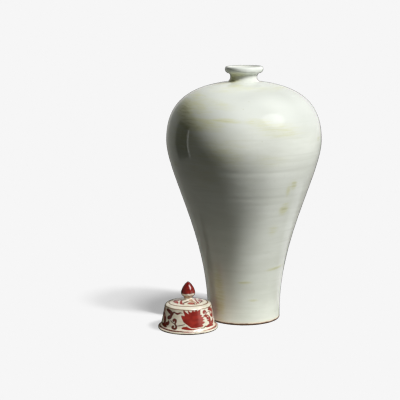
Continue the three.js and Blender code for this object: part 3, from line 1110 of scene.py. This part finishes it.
# Nets, which take a share of the key's light off part of the vase. As the lamp sees the vase: where each
# starts and ends across and up from its middle, and the share.
nets = {
    "upper_net": (-88, 260, -13, 98, 0.28),
    "shoulder_net": (-31, 260, 1, 83, 0.17),
    "neck_net": (-25, 260, 98, 300, 0.25),
    "right_net": (-46, 260, -300, -1, 0.18),
    "left_net": (-260, -82, -300, -36, 0.83),
    "low_net": (-75, 260, -168, -107, 0.31),
}
lampDistance = 1700
netDistance = 260
vaseMiddle = 180


def newGroup(name, members):
    group = bpy.data.collections.new(name)
    for member in members:
        group.objects.link(member)
    return group


def addLamp(name, spec, lit, groups):
    angle, rise = (math.radians(v) for v in spec["at"])
    reach = math.cos(rise) * lampDistance
    up = vaseMiddle + math.sin(rise) * lampDistance
    spot = placeAt(math.sin(angle) * reach, -math.cos(angle) * reach, up)
    lamp = bpy.data.lights.new(name, "AREA")
    lamp.shape = "ELLIPSE"
    lamp.size, lamp.size_y = (v * mm for v in spec["size"])
    lamp.energy = math.pi ** 2 * spec["level"] * (lampDistance * mm) ** 2
    lamp.color = spec.get("colour", (1, 1, 1))
    holder = newObject(name, lamp)
    holder.location = spot
    holder.rotation_euler = (placeAt(0, 0, vaseMiddle) - spot).to_track_quat("-Z", "Y").to_euler()
    holder.visible_glossy = "gloss" in spec
    holder.visible_diffuse = "gloss" not in spec
    holder.light_linking.receiver_collection = groups[lit]
    if name != "key":
        holder.light_linking.blocker_collection = groups[spec.get("blockers", "pieces")]


def addPlane(name, corners, material):
    mesh = bpy.data.meshes.new(name)
    mesh.from_pydata(corners, [], [(0, 1, 2, 3)])
    mesh.materials.append(material)
    plane = newObject(name, mesh)
    return plane


def addCard(name, spec):
    material, tree = newMaterial(name)
    endTree(tree, "Emission", {"Strength": spec["glow"]})
    if "flat" in spec:
        (left, near), (right, far) = spec["flat"]
        corners = [placeAt(*place, 1) for place in ((left, near), (right, near), (right, far), (left, far))]
    else:
        start, end = spec["ends"]
        low, high = spec["heights"]
        places = ((start, low), (end, low), (end, high), (start, high))
        corners = [placeAt(*place, up) for place, up in places]
    card = addPlane(name, corners, material)
    card.visible_camera = card.visible_shadow = card.visible_diffuse = False


# A net across the key's light, seen by shadow rays alone
def addNet(name, left, right, low, high, share):
    material, tree = newMaterial(name)
    endTree(tree, "BsdfTransparent", {"Color": (1 - share,) * 3 + (1,)})
    angle, rise = (math.radians(v) for v in lamps["vase"]["key"]["at"])
    towards = np.array((math.cos(rise) * math.sin(angle), -math.cos(rise) * math.cos(angle), math.sin(rise)))
    side = np.array((math.cos(angle), math.sin(angle), 0))
    upward = np.cross(towards, side)
    shrink = 1 - netDistance / lampDistance
    left, right, low, high = (v * shrink for v in (left, right, low, high))
    middle = np.array((0, 0, vaseMiddle)) + towards * netDistance
    places = ((left, low), (right, low), (right, high), (left, high))
    net = addPlane(name, [placeAt(*(middle + side * u + upward * v)) for u, v in places], material)
    net.visible_camera = net.visible_diffuse = net.visible_glossy = net.visible_transmission = False


def addFloor():
    s = studio
    material, tree = newMaterial("whiteTable")
    place = addNode(tree, "TexCoord", output="Object")
    reach = addNode(tree, "VectorMath", (place,), "Value", operation="LENGTH")
    low, high = s["tableRadius"] * mm, (s["tableRadius"] + s["tableFade"]) * mm
    away = addNode(tree, "MapRange", (reach, low, high), **smooth)
    endTree(tree, "BsdfDiffuse", {"Color": addNode(tree, "MixRGB", (away, s["table"], s["dark"]))})
    half = s["floorSize"] / 2
    corners = [placeAt(x * half, y * half, 0) for x, y in ((-1, -1), (1, -1), (1, 1), (-1, 1))]
    floor = addPlane("floor", corners, material)
    floor.is_shadow_catcher = True
    floor.visible_glossy = False  # the glaze mirrors the pale room instead
    return floor


def addWorld():
    s = studio
    world = bpy.data.worlds.new("white_room")
    scene.world = world
    world.use_nodes = True
    tree = world.node_tree
    tree.nodes.clear()
    looking = addNode(tree, "TexCoord", output="Generated")
    height = addNode(tree, "SeparateXYZ", (looking,), "Z")
    aside = math.radians(s["brightSide"])
    brightest = forward * math.cos(aside) + rightward * math.sin(aside)
    behind = addNode(tree, "VectorMath", (looking, tuple(brightest)), "Value", operation="DOT_PRODUCT")
    behind = addNode(tree, "MapRange", (behind, *s["behindSpan"]))
    above = addNode(tree, "MapRange", (height, *s["aboveSpan"]), **smooth)
    below = addNode(tree, "MapRange", (height, *s["belowSpan"]), **smooth)
    mirrored = addNode(tree, "LightPath", output="Is Glossy Ray")
    inView = addNode(tree, "LightPath", output="Is Camera Ray")
    seen = addNode(tree, "MixRGB", (behind, s["glossFront"] + (1,), s["glossBehind"] + (1,)))
    seen = addNode(tree, "MixRGB", (above, seen, s["glossAbove"] + (1,)))
    seen = addNode(tree, "MixRGB", (below, s["glossBelow"] + (1,), seen))
    seen = addNode(tree, "MixRGB", (mirrored, s["ambient"] + (1,), seen))
    seen = addNode(tree, "MixRGB", (inView, seen, s["white"]))
    endTree(tree, "Background", {"Color": seen, "Strength": 1.0}, "OutputWorld")


def buildStudio(vasePieces, coverPieces):
    floor = addFloor()
    for name, spec in cards.items():
        addCard(name, spec)
    groups = {
        "pieces": newGroup("pieces", vasePieces + coverPieces),
        "vase": newGroup("vase_alone", vasePieces),
        "cover": newGroup("cover_alone", coverPieces),
        "floor": newGroup("floor_alone", [floor]),
        "foot": newGroup("foot_alone", vasePieces[:1]),
    }
    for lit, specs in lamps.items():
        for name, spec in specs.items():
            addLamp(name, spec, lit, groups)
    for name, spec in nets.items():
        addNet(name, *spec)
    addWorld()


buildStudio(vasePieces, coverPieces)
print("studio lit")
